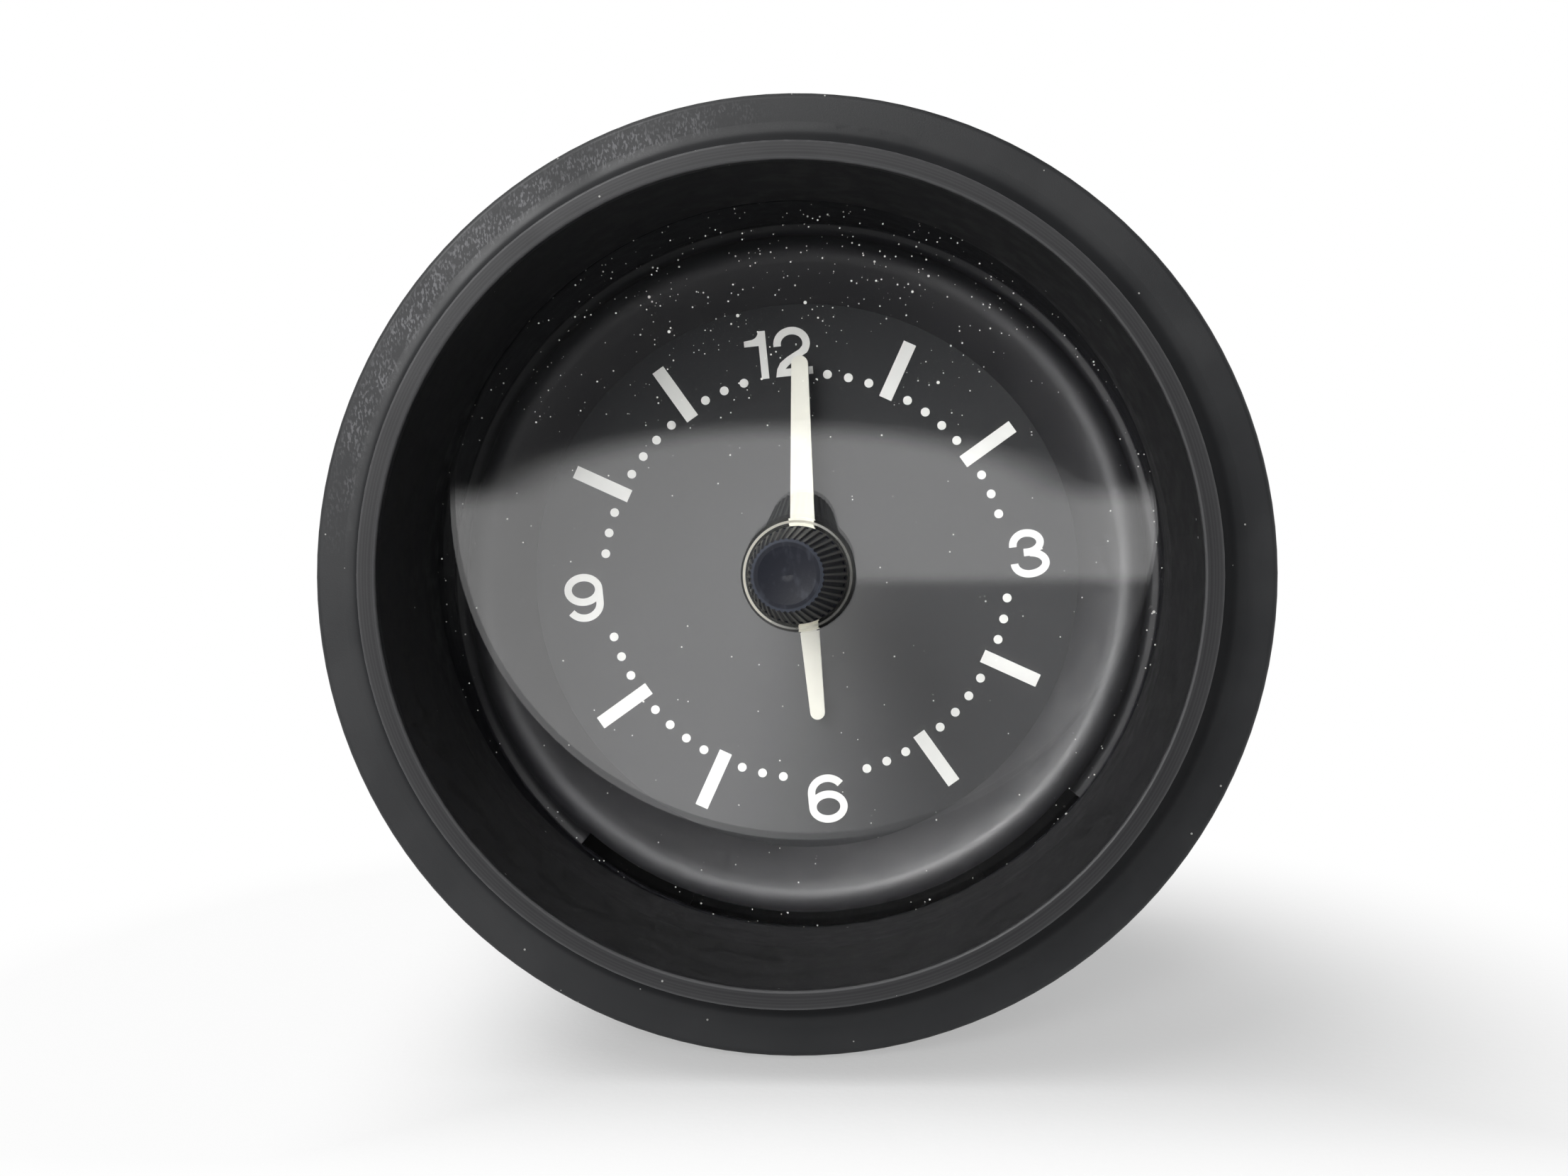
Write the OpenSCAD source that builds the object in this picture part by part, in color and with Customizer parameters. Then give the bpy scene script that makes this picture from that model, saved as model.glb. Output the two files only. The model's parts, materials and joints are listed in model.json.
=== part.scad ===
// Dashboard clock for a round panel hole, with a glare funnel, a tilted glass and a centre setting knob.
// Each piece is drawn with the clock's axis along Z, the dial facing +Z and 12 o'clock along +Y.
// on_axis() then turns it to face -Y with 12 o'clock up.
// The origin is the centre of the flange's rear face, which seats on the panel.

/* [Case and bezel] */
// Outer radius of the case can
case_r = 39.4; // [36:0.1:44]
// Wall of the case can
case_wall = 0.9; // [0.6:0.1:1.2]
// Corner radius at the rear of the case can
case_corner = 3; // [2:0.5:5]
// Width of the bezel flange outside the case
flange_w = 5.6; // [4:0.1:9]
// Thickness of the bezel flange
flange_t = 3.5; // [3:0.1:5]
// Corner radius of the flange's front edge
flange_round = 0.5; // [0.3:0.1:1.4]
// Height of the lip above the flange
lip_rise = 7.5; // [5:0.1:10]
// Wall of the lip outside the funnel
lip_wall = 0.8; // [0.6:0.1:1.4]
// Depth of the lip's front band, which turns in over the funnel
lip_cap = 1.6; // [1.2:0.1:2.4]
// Corner radius of the lip's two front edges
lip_round = 0.2; // [0.1:0.05:0.4]
// Radius of the cove between the flange and the lip
lip_cove = 3; // [1:0.1:4]
// Depth of the case's seat in the bezel
case_seat = 2; // [1:0.1:2.6]
// Thickness of the rubber grip ring
grip_t = 0.5; // [0.4:0.1:1]
// Length of the grip ring behind the flange
grip_len = 16; // [13:0.5:22]
// Length of the grip ring's plain front land
grip_land = 8; // [6:0.5:9]
// Depth of each barb behind the grip ring's land
grip_barb = 0.3; // [0.1:0.05:0.3]
// Depth of the relief in the flange round the grip ring's front edge
grip_relief = 0.3; // [0.2:0.1:0.9]

/* [Funnel and glass] */
// Wall of the glare funnel at the lip
funnel_wall = 0.8; // [0.6:0.1:1.4]
// Drop of the funnel's steep upper cone
funnel_step = 12.6; // [8:0.1:13]
// Inward taper of the funnel's upper cone
funnel_taper = 1.7; // [1:0.1:2.5]
// Inward draft of the funnel's lower wall
funnel_draft = 0.5; // [0.1:0.1:0.8]
// Thickness of the glass
glass_t = 2.2; // [1.5:0.1:3]
// Tilt of the glass, top edge forward
glass_tilt = 9.2; // [4:0.1:11]
// Distance from the dial up to the front of the glass on the axis
glass_gap = 12.2; // [11.6:0.1:14]

/* [Dial] */
// Depth of the dial behind the flange's rear face
dial_depth = 21; // [19:0.1:26]
// Thickness of the dial plate
dial_t = 0.8; // [0.5:0.1:1.2]
// Thickness of the hour bars and dots
mark_t = 0.08; // [0.05:0.01:0.15]
// Gap between the hour bars and the mask
bar_gap = 1.8; // [1:0.1:3]
// Length of an hour bar
bar_len = 6.2; // [4:0.1:7]
// Width of an hour bar
bar_w = 1.36; // [0.8:0.01:1.8]
// Distance from the inner ends of the bars out to the ring of dots
dot_out = 0.85; // [0.5:0.05:1.5]
// Diameter of one dot
dot_d = 0.91; // [0.6:0.01:1.2]
// Distance from the case bore in to the mask's crest
crest_in = 5.5; // [5:0.1:6.5]
// Width of the mask's slope inside its crest
bead_w = 4.9; // [4:0.1:6]
// Radius of the mask's rounded crest
crest_round = 1.9; // [1.5:0.05:2]
// Bow of the mask's slope, as half the angle it turns through
bead_bow = 6; // [2:1:10]
// Drop from the mask's crest to the ledge outside it
ledge_drop = 1.8; // [1.5:0.1:1.9]
// Air between the mask's crest and the glass
bead_air = 1; // [0.6:0.1:1.6]
// Wall of the mask
mask_wall = 1; // [0.6:0.1:1.4]
// Wall of the mask's skirt under the glass
skirt_wall = 2.2; // [1.4:0.1:2.4]
// Angle covered by the light slot
slot_angle = 91; // [60:1:120]
// Distance from the mask's crest out to the light slot
slot_out = 1.4; // [1.2:0.1:1.8]
// Width of the ledge left outside the light slot
slot_rim = 0.2; // [0.1:0.05:0.3]

/* [Hands] */
// Length of the minute hand
minute_len = 22.4; // [18:0.1:24]
// Width of the minute hand at its hub
minute_w = 2.76; // [2.2:0.02:3.2]
// Width of the minute hand at its tip
minute_tip_w = 1.7; // [1:0.05:2]
// Length of the hour hand
hour_len = 14.8; // [11:0.1:17]
// Width of the hour hand at its hub
hour_w = 2.3; // [1.8:0.05:3]
// Width of the hour hand at its tip
hour_tip_w = 1.5; // [1:0.05:2]
// Thickness of a hand
hand_t = 0.8; // [0.5:0.05:1]
// Gap between the dial and the hour hand
hand_clear = 1.1; // [0.8:0.1:1.6]
// Gap between the two hands
hand_gap = 0.9; // [0.6:0.1:1.2]
// Angle of the minute hand past 12
minute_at = 4.7; // [0:0.1:360]
// Angle of the hour hand past 12
hour_at = 180.2; // [0:0.1:360]

/* [Setting knob] */
// Radius of the knob's front face
knob_face_r = 3.4; // [2.8:0.1:3.8]
// Radius of the knob where it runs in the bush
knob_base_r = 4.8; // [4.4:0.1:5]
// Depth of the knob's face below the lip
knob_recess = 2.2; // [0:0.1:4]
// Number of flutes round the knob
flutes = 40; // [24:1:44]
// Radius of one flute
flute_r = 0.2; // [0.15:0.01:0.22]
// Depth of the dish in the knob's face
knob_dish = 0.25; // [0.1:0.05:0.4]
// Travel of the knob
knob_travel = 1.2; // [1:0.1:1.4]
// Length of the knob inside the bush
guide_len = 2; // [1.8:0.1:2.4]
// Radius of the knob's shaft
shaft_r = 1.5; // [1.2:0.05:1.6]
// Length of the shaft pressed into the knob
shaft_grip = 7; // [4:0.5:12]
// Wall of the clear bush
bush_wall = 0.65; // [0.5:0.05:1]
// Height of the bush in front of the glass
bush_proud = 1.6; // [1.2:0.1:2.2]
// Thickness of the bush's end wall
bush_floor = 1; // [0.8:0.1:1.2]
// Wire diameter of the return spring
spring_wire = 0.36; // [0.3:0.02:0.4]
// Mean radius of the return spring
spring_r = 2.9; // [2.6:0.05:3.1]
// Turns of the return spring
spring_turns = 3; // [2:0.5:3]
// Thickness of the thrust washer
washer_t = 0.35; // [0.3:0.05:0.5]
// Thickness of the retaining clip
clip_t = 0.5; // [0.4:0.05:0.6]
// Length of the rubber friction tip
tip_len = 0.7; // [0.5:0.05:0.9]
// Gap between the friction tip and the arbor's cup
tip_gap = 0.6; // [0.4:0.05:0.8]
// Air left between the pushed clip and the arbor's cup
clip_air = 0.35; // [0.3:0.05:0.6]

/* [Gear train] */
// Module of the driving train and of the first motion pair
gear_module = 0.5; // [0.46:0.01:0.52]
// Thickness of a wheel
wheel_t = 1; // [0.7:0.1:1.2]
// Thickness of a pinion
pinion_t = 1.4; // [1.2:0.1:1.6]
// Radius of the minute arbor
arbor_r = 1.2; // [1:0.05:1.3]
// Wall of the cannon pinion's pipe
cannon_wall = 0.5; // [0.4:0.05:0.55]
// Wall of the hour wheel's pipe
pipe_wall = 0.65; // [0.5:0.05:0.7]
// Radius of the minute wheel's stud
stud_r = 1; // [0.8:0.05:1.1]
// Radius of the motor's shaft
motor_shaft_r = 0.7; // [0.5:0.05:0.75]
// Air between the front plate and the cannon pinion
cannon_air = 1.2; // [0.8:0.1:1.4]
// Air between the front plate and the centre wheel
centre_air = 2; // [1.4:0.1:3]

/* [Movement frame] */
// Gap between the case bore and the movement plates
plate_gap = 4.4; // [3:0.1:6]
// Thickness of a movement plate
plate_t = 1.4; // [1:0.1:2]
// Distance between the dial and the front plate
motion_gap = 6.2; // [6:0.1:8]
// Distance between the movement plates
train_gap = 9.6; // [8:0.1:12]
// Radius of a plate pillar
pillar_r = 2; // [1.6:0.1:2.4]
// Radius of a dial pillar
dial_pillar_r = 1.5; // [1.2:0.1:2]
// Radius of a rear standoff
standoff_r = 2.6; // [2.2:0.1:3]
// Distance from a plate's edge in to its posts
post_in = 3.4; // [3:0.1:5]
// Length of a screw's thread in its post
screw_len = 5; // [3:0.5:6]
// Radius of a screw's shank
screw_r = 1.2; // [1:0.05:1.4]
// Radius of a screw's head
head_r = 2.2; // [2:0.1:2.6]
// Height of a screw's head
head_h = 1.3; // [1:0.1:1.6]
// Radius of the drive motor
motor_r = 10; // [8:0.5:12]
// Length of the drive motor
motor_len = 7.5; // [6:0.1:10]
// Air behind the drive motor
motor_air = 1.1; // [0.6:0.1:2]

/* [Lamp and terminals] */
// Radius of the lamp's glass
lamp_r = 4.4; // [4:0.1:4.8]
// Wall of the lamp socket
socket_wall = 1.6; // [1.2:0.1:1.8]
// Length of the lamp socket inside the case
socket_len = 15; // [10:0.5:18]
// Width of the socket's outer flange
socket_flange = 1.8; // [1:0.1:2]
// Thickness of the socket's outer flange
socket_cap = 2.4; // [1.6:0.1:3]
// Air between the lamp and the dial
lamp_air = 2; // [1:0.1:4]
// Distance from the mask's crest in to the lamp's axis
lamp_in = 3.4; // [2:0.1:5]
// Length of a blade behind the insulator
blade_len = 8; // [7:0.5:9]
// Distance between the two blades
blade_pitch = 12; // [10:0.5:14]
// Height of the terminals above the axis
terminal_up = 20; // [18:0.5:21]
// Height of the insulator
insulator_h = 8; // [6:0.5:9]
// Width of the insulator beside the blades
insulator_rim = 2; // [1:0.5:3]
// Thickness of the insulator behind the case
insulator_t = 3; // [2:0.5:4]

/* [Hidden] */
$fn = 96;

// Clearances: slip between fixed pieces, run of a shaft in its hole, end play of a turning piece,
// air round a piece that passes through a plate, and how far a cut runs past what it cuts
slip = 0.1;
run = 0.03;
play = 0.05;
hole_air = 0.3;
beyond = 1;

// Radii of the front, worked inward from the case
bore_r = case_r - case_wall;
fit_r = bore_r - slip;
flange_r = case_r + flange_w;
lip_r = bore_r + lip_wall;
seat_r = case_r + slip;
mouth_r = fit_r - funnel_wall;
waist_r = mouth_r - funnel_taper;
sill_r = waist_r - funnel_draft;
grip_r = case_r + grip_t;
grip_barbs = 3;

// Stations along the axis, front to back
z_lip = flange_t + lip_rise;
z_funnel = z_lip - lip_cap;
z_knob = z_lip - knob_recess;
z_dial = -dial_depth;
z_dial_back = z_dial - dial_t;
z_glass = z_dial + glass_gap;
glass_drop = glass_t / cos(glass_tilt);
z_front_plate = z_dial_back - motion_gap;
z_train_top = z_front_plate - plate_t;
z_back_plate = z_train_top - train_gap;
z_train_back = z_back_plate - plate_t;
z_case_in = z_train_back - motor_len - motor_air;
z_case_back = z_case_in - case_wall;

// Mask: a slope from the dial up to a rounded crest, which drops to a ledge outside it
crest_r = fit_r - crest_in;
crest_z = z_glass - glass_drop - crest_r * tan(glass_tilt) - bead_air;
crest_c = crest_z - crest_round;
bead_h = crest_z - z_dial;
foot_r = crest_r - bead_w;
bead_reach = norm([bead_w, crest_c - z_dial]);
bead_slope = atan((crest_c - z_dial) / bead_w) + asin(crest_round * cos(bead_bow) / bead_reach);
crest_turn = 70;
ledge_round = ledge_drop / (1 - cos(crest_turn)) - crest_round;
crest_steps = 24;
slope_steps = 8;
skirt_r = fit_r - skirt_wall;
slot_r = crest_r + slot_out;
slot_w = skirt_r - slot_rim - slot_r;
lamp_window = 50;
window_lap = 1;

// Marks on the dial, worked inward from the mask's foot
bar_ring_r = foot_r - bar_gap - bar_len / 2;
dot_ring_r = bar_ring_r - bar_len / 2 + dot_out;

// Hands and the cup on the arbor
z_hour_hand = z_dial + hand_clear;
z_minute_hand = z_hour_hand + hand_t + hand_gap;
z_hub = z_minute_hand + hand_t;
tip_air = 0.15;
cup_depth = knob_travel - tip_gap + tip_air;
cup_floor = 0.5;
z_cup = z_hub + cup_floor + cup_depth;
tip_r = shaft_r - slip;
cup_r = tip_r + hole_air;
cup_wall = 0.7;
hand_collar = 1;
arbor_end = 0.6;

// Setting knob, worked forward from the arbor's cup and back from the glass
z_tip = z_cup + tip_gap;
z_shaft_end = z_tip + tip_len;
z_clip = z_cup + knob_travel + clip_air;
z_bush_back = z_clip + clip_t + play;
z_bush_floor = z_bush_back + bush_floor;
z_bush = z_glass + bush_proud;
z_knob_base = z_bush - guide_len;
z_washer = z_knob_base - play - washer_t;
spring_len = z_washer - z_bush_floor;
bush_bore = knob_base_r + run + slip;
bush_r = bush_bore + bush_wall;
knob_shoulder = 0.6;
knob_round = 0.6;
dish_rim = 0.7;
clip_wall = 1.1;
clip_gap = 1;

// Gears: tooth counts follow from the ratios of 12 and 8 to 1
centre_teeth = 64;
motor_teeth = 8;
cannon_teeth = 12;
minute_teeth = 36;
pinion_teeth = 10;
hour_teeth = 40;
hour_module = gear_module * (cannon_teeth + minute_teeth) / (pinion_teeth + hour_teeth);
motion_centre = gear_module * (cannon_teeth + minute_teeth) / 2;
motor_centre = gear_module * (centre_teeth + motor_teeth) / 2;
cannon_r = arbor_r + cannon_wall;
pipe_bore = cannon_r + run;
pipe_r = pipe_bore + pipe_wall;
wheel_gap = 0.8;
z_cannon = z_front_plate + cannon_air;
z_minute_wheel = z_cannon + (pinion_t - wheel_t) / 2;
z_hour_wheel = z_cannon + pinion_t + wheel_gap;
z_minute_pinion = z_hour_wheel - (pinion_t - wheel_t) / 2;
z_centre_wheel = z_train_top - centre_air - wheel_t;
z_motor_pinion = z_centre_wheel - (pinion_t - wheel_t) / 2;
hub_r = 3;
hub_step = 1;
spokes = 5;
spoke_w = 2.4;
rim_w = 2.2;
stud_collar = 1.9;
stud_head = 1.6;
stud_cap = 0.4;

// Tooth shape in modules above and below the pitch circle, and half widths as shares of the pitch arc
addendum = 0.75;
dedendum = 1.15;
tip_share = 0.09;
pitch_share = 0.2;
root_share = 0.31;

// Movement frame
plate_r = fit_r - plate_gap;
post_ring = plate_r - post_in;
dial_posts = [90, 210, 330];
plate_posts = [45, 135, 225, 315];
screw_air = 0.5;
screw_slot = 0.6;
motor_boss = 1.2;
boss_h = 0.8;

// Lamp and terminals
lamp_base_r = lamp_r + slip;
socket_bore = lamp_base_r + slip;
socket_r = socket_bore + socket_wall;
lamp_down = crest_r - lamp_in;
z_socket = z_case_in + socket_len;
z_lamp = z_dial_back - lamp_air;
lamp_shell = 3;
finger_slot = 1.6;

// Standard blade terminals, with the hole that locks their connector
blade_w = 6.3;
blade_t = 0.8;
blade_root = 3;
blade_hole_r = 0.9;
blade_hole_up = 3;
blade_air = 0.9;
insulator_w = blade_pitch + blade_w + 2 * insulator_rim;

// Turns a piece from its drawing position to the clock's place in the panel
module on_axis() {
    rotate([90, 0, 0])
        children();
}

// A disc or rod from one station to another
module rod(r, z0, z1) {
    translate([0, 0, min(z0, z1)])
        cylinder(r = r, h = abs(z1 - z0));
}

// A tube from one station to another, with its bore cut through
module tube(r, bore, z0, z1) {
    difference() {
        rod(r, z0, z1);
        rod(bore, min(z0, z1) - beyond, max(z0, z1) + beyond);
    }
}

// Copies at given angles on a ring
module around(ring, angles) {
    for (a = angles)
        rotate(a)
            translate([ring, 0, 0])
                children();
}

// The slab of the glass, wide enough to cut the case across
module glass_slab(front, back) {
    wide = 4 * case_r;
    translate([0, 0, z_glass])
        rotate([glass_tilt, 0, 0])
            translate([-wide / 2, -wide / 2, -back])
                cube([wide, wide, front + back]);
}

// A gear outline with straight-sided teeth, one tooth on the X axis
module gear_outline(teeth, mod) {
    pitch_r = mod * teeth / 2;
    root_r = pitch_r - dedendum * mod;
    crown_r = pitch_r + addendum * mod;
    step = 360 / teeth;
    shape = [[root_r, -root_share], [pitch_r, -pitch_share], [crown_r, -tip_share],
        [crown_r, tip_share], [pitch_r, pitch_share], [root_r, root_share]];
    polygon([for (i = [0 : teeth - 1]) for (p = shape)
        let (a = (i + p[1]) * step) [p[0] * cos(a), p[0] * sin(a)]]);
}

// A gear on a pipe, with one bore through both
module piped_gear(teeth, mod, z_gear, thick, pipe, z0, z1, bore, turn = 0) {
    difference() {
        union() {
            translate([0, 0, z_gear])
                rotate(turn)
                    linear_extrude(thick)
                        gear_outline(teeth, mod);
            rod(pipe, z0, z1);
        }
        rod(bore, min(z0, z_gear) - beyond, max(z1, z_gear + thick) + beyond);
    }
}

// A flat hand with a round hub, a straight taper and a round tip, pointing along +Y
module hand(len, w, tip_w, hub, bore) {
    end_r = tip_w / 2;
    linear_extrude(hand_t)
        difference() {
            union() {
                circle(hub);
                polygon([[-w / 2, 0], [w / 2, 0], [end_r, len - end_r], [-end_r, len - end_r]]);
                translate([0, len - end_r])
                    circle(end_r);
            }
            circle(bore);
        }
}

module front_bezel() {
    color([0.16, 0.16, 0.17])
        on_axis()
            rotate_extrude() {
                difference() {
                    union() {
                        // Flange with a rounded front edge
                        translate([bore_r, 0])
                            square([flange_r - flange_round - bore_r, flange_t]);
                        translate([bore_r, 0])
                            square([flange_r - bore_r, flange_t - flange_round]);
                        translate([flange_r - flange_round, flange_t - flange_round])
                            circle(flange_round);
                        // Lip with a flat front band that turns in over the funnel
                        translate([bore_r, 0])
                            square([lip_r - bore_r, z_funnel]);
                        translate([mouth_r, z_funnel])
                            square([lip_r - mouth_r, lip_cap - lip_round]);
                        translate([mouth_r + lip_round, z_funnel])
                            square([lip_r - mouth_r - 2 * lip_round, lip_cap]);
                        for (r = [mouth_r + lip_round, lip_r - lip_round])
                            translate([r, z_lip - lip_round])
                                circle(lip_round);
                        // Cove between the flange and the lip
                        translate([lip_r, flange_t])
                            difference() {
                                square(lip_cove);
                                translate([lip_cove, lip_cove])
                                    circle(lip_cove);
                            }
                    }
                    // Seat for the case's front edge, and relief for the grip ring's
                    translate([0, -beyond])
                        square([seat_r, case_seat + beyond]);
                    translate([0, -beyond])
                        square([grip_r + slip, grip_relief + beyond]);
                }
            }
}

module grip_ring() {
    pitch = (grip_len - grip_land) / grip_barbs;
    land = [[case_r, 0], [grip_r, 0], [grip_r, -grip_land]];
    // Barbs that taper to the rear
    barbs = [for (i = [1 : grip_barbs], r = [grip_r - grip_barb, grip_r])
        if (i < grip_barbs || r < grip_r) [r, -grip_land - i * pitch]];
    color([0.07, 0.07, 0.07])
        on_axis()
            rotate_extrude()
                polygon(concat(land, barbs, [[case_r, -grip_len]]));
}

module glare_funnel() {
    z_end = z_dial;
    color([0.05, 0.05, 0.055])
        on_axis()
            difference() {
                rotate_extrude()
                    polygon([[fit_r, z_end], [fit_r, z_funnel], [mouth_r, z_funnel],
                        [waist_r, z_funnel - funnel_step], [sill_r, z_end]]);
                glass_slab(0, 2 * case_r);
            }
}

module glass() {
    color([0.8, 0.85, 0.85, 0.35])
        on_axis()
            difference() {
                intersection() {
                    rod(fit_r, z_dial, z_funnel);
                    glass_slab(0, glass_t);
                }
                rod(bush_r + slip, z_dial, z_funnel);
            }
}

module knob_bush() {
    color([0.85, 0.8, 0.6, 0.6])
        on_axis()
            difference() {
                rod(bush_r, z_bush_back, z_bush);
                rod(bush_bore, z_bush_floor, z_bush + beyond);
                rod(shaft_r + run, z_dial, z_bush);
            }
}

// Points of an arc about a centre after its start, with its angle measured from the front towards the outside
function bead_arc(centre, r, from, to, steps) =
    [for (i = [1 : steps]) let (a = from + (to - from) * i / steps) centre + r * [sin(a), cos(a)]];

// Points along the mask's front from its foot over the crest to the ledge, set in by an inset
function bead_front(inset) =
    let (
        crest = [crest_r, crest_c],
        tangent = bead_bow - bead_slope,
        joint = crest + crest_round * [sin(tangent), cos(tangent)],
        slope_round = norm(joint - [foot_r, z_dial]) / (2 * sin(bead_bow)),
        slope = joint - slope_round * [sin(tangent), cos(tangent)],
        ledge = crest + (crest_round + ledge_round) * [sin(crest_turn), cos(crest_turn)]
    )
    concat(
        bead_arc(slope, slope_round - inset, tangent - 2 * bead_bow, tangent, slope_steps),
        bead_arc(crest, crest_round - inset, tangent, crest_turn, crest_steps),
        bead_arc(ledge, -ledge_round - inset, crest_turn, 0, crest_steps / 2)
    );

module dial_mask() {
    front = bead_front(0);
    inner = bead_front(mask_wall);
    z_ledge = crest_z - ledge_drop;
    z_hollow = z_ledge - mask_wall;
    z_low = z_dial - mask_wall;
    outside = concat([[fit_r, z_dial], [foot_r, z_dial]], front,
        [[skirt_r, z_ledge], [skirt_r, z_funnel], [fit_r, z_funnel]]);
    hollow = concat([[skirt_r, z_low], [inner[0][0], z_low]], inner, [[skirt_r, z_hollow]]);
    color([0.06, 0.06, 0.065])
        on_axis()
            difference() {
                rotate_extrude()
                    difference() {
                        polygon(outside);
                        polygon(hollow);
                    }
                glass_slab(2 * case_r, glass_t);
                // Light slot, centred on 6 o'clock
                rotate(270 - slot_angle / 2)
                    rotate_extrude(angle = slot_angle)
                        translate([slot_r, z_dial - beyond])
                            square([slot_w, bead_h + 2 * beyond]);
            }
}

module dial_plate() {
    color([0.05, 0.05, 0.05])
        on_axis()
            difference() {
                rod(fit_r, z_dial_back, z_dial);
                rod(pipe_r + hole_air, z_dial_back - beyond, z_dial + beyond);
                // Window over the lamp, hidden under the mask
                rotate(270 - lamp_window / 2)
                    rotate_extrude(angle = lamp_window)
                        translate([crest_r - window_lap, z_dial_back - beyond])
                            square([skirt_r - crest_r + window_lap, dial_t + 2 * beyond]);
            }
}

module hour_marks() {
    hour = 30;
    minute = 6;
    color([0.93, 0.93, 0.91])
        on_axis()
            translate([0, 0, z_dial])
                linear_extrude(mark_t) {
                    // Bars at every hour that has no numeral
                    for (i = [1 : 12])
                        if (i % 3 != 0)
                            rotate(i * hour)
                                translate([0, bar_ring_r])
                                    square([bar_w, bar_len], center = true);
                    // Dots at the minutes, leaving the hours and both sides of each numeral free
                    for (i = [0 : 59])
                        if (i % 5 != 0 && (i + 1) % 15 != 0 && (i - 1) % 15 != 0)
                            rotate(i * minute)
                                translate([0, dot_ring_r])
                                    circle(d = dot_d);
                }
}

module case_can() {
    color([0.45, 0.46, 0.47])
        on_axis()
            difference() {
                rotate_extrude()
                    difference() {
                        union() {
                            translate([0, z_case_back + case_corner])
                                square([case_r, case_seat - z_case_back - case_corner]);
                            translate([0, z_case_back])
                                square([case_r - case_corner, case_corner]);
                            translate([case_r - case_corner, z_case_back + case_corner])
                                circle(case_corner);
                        }
                        inner_corner = case_corner - case_wall;
                        translate([0, z_case_in + inner_corner])
                            square([bore_r, case_seat - z_case_in + beyond]);
                        translate([0, z_case_in])
                            square([bore_r - inner_corner, inner_corner]);
                        translate([bore_r - inner_corner, z_case_in + inner_corner])
                            circle(inner_corner);
                        translate([-case_r, z_case_back - beyond])
                            square([case_r, case_r * 3]);
                    }
                // Holes for the rear screws, the lamp socket and the terminals
                around(post_ring, dial_posts)
                    rod(screw_r + slip, z_case_back - beyond, z_case_in + beyond);
                translate([0, -lamp_down, 0])
                    rod(socket_r + slip, z_case_back - beyond, z_case_in + beyond);
                for (s = [-1, 1])
                    translate([s * blade_pitch / 2, terminal_up, z_case_in])
                        cube([blade_w + 2 * blade_air, blade_t + 2 * blade_air, 4 * case_wall],
                            center = true);
            }
}

// A movement plate with its notch for the lamp socket and its arbor hole
module movement_plate(z_top) {
    difference() {
        rod(plate_r, z_top - plate_t, z_top);
        rod(arbor_r + run, z_top - plate_t - beyond, z_top + beyond);
        translate([0, -lamp_down, 0])
            rod(socket_r + hole_air, z_top - plate_t - beyond, z_top + beyond);
        notch = 2 * (socket_r + hole_air);
        translate([-notch / 2, -lamp_down - plate_r, z_top - plate_t - beyond])
            cube([notch, plate_r, plate_t + 2 * beyond]);
        children();
    }
}

module front_plate() {
    color([0.72, 0.6, 0.32])
        on_axis()
            movement_plate(z_front_plate)
                translate([motion_centre, 0, 0])
                    rod(stud_r, z_train_top - beyond, z_front_plate + beyond);
}

module back_plate() {
    color([0.72, 0.6, 0.32])
        on_axis()
            movement_plate(z_back_plate) {
                translate([-motor_centre, 0, 0])
                    rod(gear_module * (motor_teeth / 2 + 1), z_train_back - beyond, z_back_plate + beyond);
                around(post_ring, plate_posts)
                    rod(screw_r + slip, z_train_back - beyond, z_back_plate + beyond);
            }
}

module plate_pillars() {
    color([0.75, 0.65, 0.38])
        on_axis()
            around(post_ring, plate_posts)
                difference() {
                    rod(pillar_r, z_back_plate, z_train_top);
                    rod(screw_r + slip, z_back_plate - beyond, z_back_plate + screw_len);
                }
}

// A slotted screw entering toward the front, with its head under the given station
module screw(z_seat, len) {
    difference() {
        union() {
            rod(screw_r, z_seat - head_h, z_seat + len);
            rod(head_r, z_seat - head_h, z_seat);
        }
        translate([0, 0, z_seat - head_h])
            cube([3 * head_r, screw_slot, head_h], center = true);
    }
}

module plate_screws() {
    color([0.6, 0.6, 0.62])
        on_axis()
            around(post_ring, plate_posts)
                screw(z_train_back, plate_t + screw_len - screw_air);
}

module dial_pillars() {
    color([0.75, 0.65, 0.38])
        on_axis()
            around(post_ring, dial_posts)
                rod(dial_pillar_r, z_front_plate, z_dial_back);
}

module rear_standoffs() {
    color([0.6, 0.6, 0.62])
        on_axis()
            around(post_ring, dial_posts)
                difference() {
                    rod(standoff_r, z_case_in, z_train_back);
                    rod(screw_r + slip, z_case_in - beyond, z_case_in + screw_len);
                }
}

module rear_screws() {
    color([0.6, 0.6, 0.62])
        on_axis()
            around(post_ring, dial_posts)
                screw(z_case_back, case_wall + screw_len - screw_air);
}

module drive_motor() {
    color([0.5, 0.5, 0.52])
        on_axis()
            translate([-motor_centre, 0, 0])
                difference() {
                    union() {
                        rod(motor_r, z_train_back - motor_len, z_train_back);
                        rod(motor_shaft_r + motor_boss, z_train_back, z_train_back + boss_h);
                    }
                    rod(motor_shaft_r + run, z_train_back - motor_len / 2, z_train_back + boss_h + beyond);
                }
}

module wheel_stud() {
    z_collar = z_minute_wheel - play;
    z_cap = z_minute_pinion + pinion_t + play;
    color([0.65, 0.65, 0.67])
        on_axis()
            translate([motion_centre, 0, 0]) {
                rod(stud_r, z_train_top, z_cap);
                rod(stud_collar, z_front_plate, z_collar);
                rod(stud_head, z_cap, z_cap + stud_cap);
            }
}

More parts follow.
